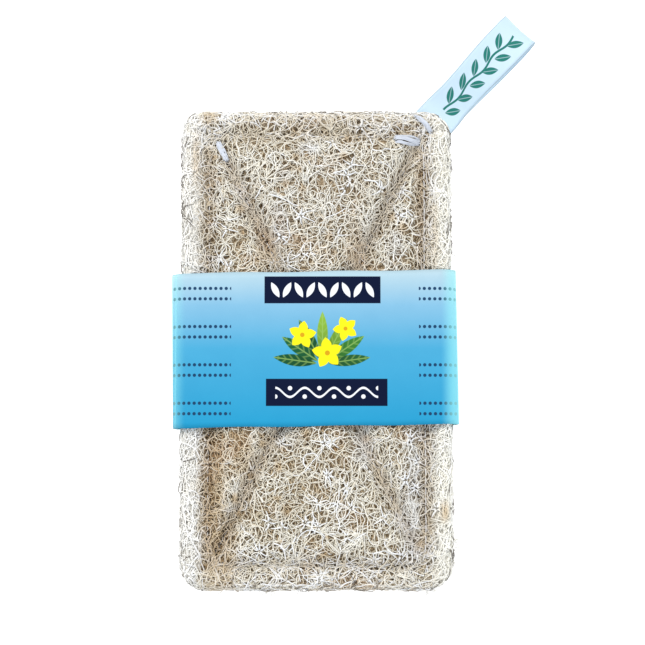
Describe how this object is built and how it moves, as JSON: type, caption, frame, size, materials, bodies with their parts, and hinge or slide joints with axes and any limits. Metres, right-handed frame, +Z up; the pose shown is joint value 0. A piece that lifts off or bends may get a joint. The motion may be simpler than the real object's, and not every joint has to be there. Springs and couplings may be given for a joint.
{
  "type": "loofah dish pad with paper sleeve and hanging loop",
  "caption": "Quilted pad of natural loofah fibre for washing up, with a paper sleeve round its middle and a folded tape loop at one corner to hang it by.",
  "frame": {"origin": "middle of the paper sleeve's flat underside, which is what the pad lies on", "axes": "+Y along the pad towards the end with the hanging loop, +X across the pad, +Z up out of the front face"},
  "size_m": [0.1073, 0.1697, 0.0202],
  "materials": {
    "loofah_fibre": "matte",
    "sleeve_paper": "satin",
    "loop_tape": "matte",
    "sewing_thread": "matte"
  },
  "bodies": {
    "root": {"loofah_pad": "loofah_fibre", "paper_band": "sleeve_paper", "hanging_loop": "loop_tape", "border_thread_front": "sewing_thread", "border_thread_back": "sewing_thread", "cross_thread_a_front": "sewing_thread", "cross_thread_b_front": "sewing_thread", "cross_thread_a_back": "sewing_thread", "cross_thread_b_back": "sewing_thread", "corner_tack_left_front": "sewing_thread", "corner_tack_right_front": "sewing_thread", "loop_tack_front": "sewing_thread", "corner_tack_left_back": "sewing_thread", "corner_tack_right_back": "sewing_thread", "loop_tack_back": "sewing_thread"}
  },
  "joints": []
}
